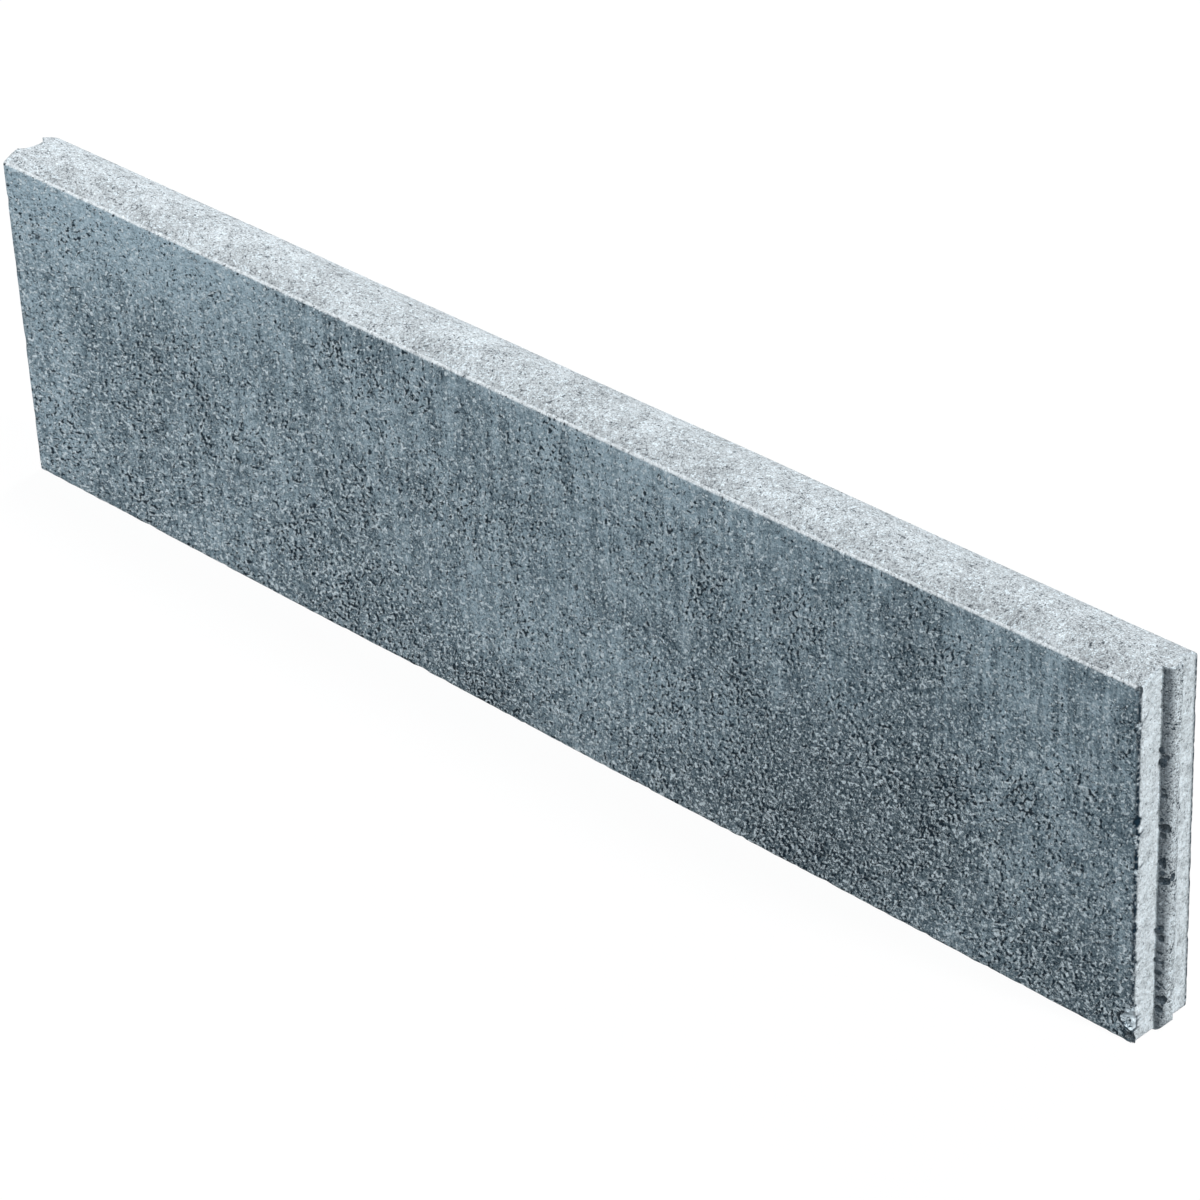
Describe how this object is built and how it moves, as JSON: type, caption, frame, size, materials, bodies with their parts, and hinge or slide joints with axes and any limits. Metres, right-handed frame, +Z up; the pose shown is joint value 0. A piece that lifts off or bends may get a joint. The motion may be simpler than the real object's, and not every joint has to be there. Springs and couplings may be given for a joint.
{
  "type": "concrete kerb stone",
  "caption": "Straight precast concrete edging kerb with a shallow crowned head, a half-round tongue on one end and a matching groove in the other.",
  "frame": {"origin": "middle of the base, halfway between the two butting ends", "axes": "+X along the kerb towards the tongue, +Y through its thickness away from the show face, +Z up from the base to the crowned head"},
  "size_m": [1.0075, 0.05, 0.25],
  "materials": {
    "concrete": "matte"
  },
  "bodies": {
    "root": {"kerb_stone": "concrete"}
  },
  "joints": []
}
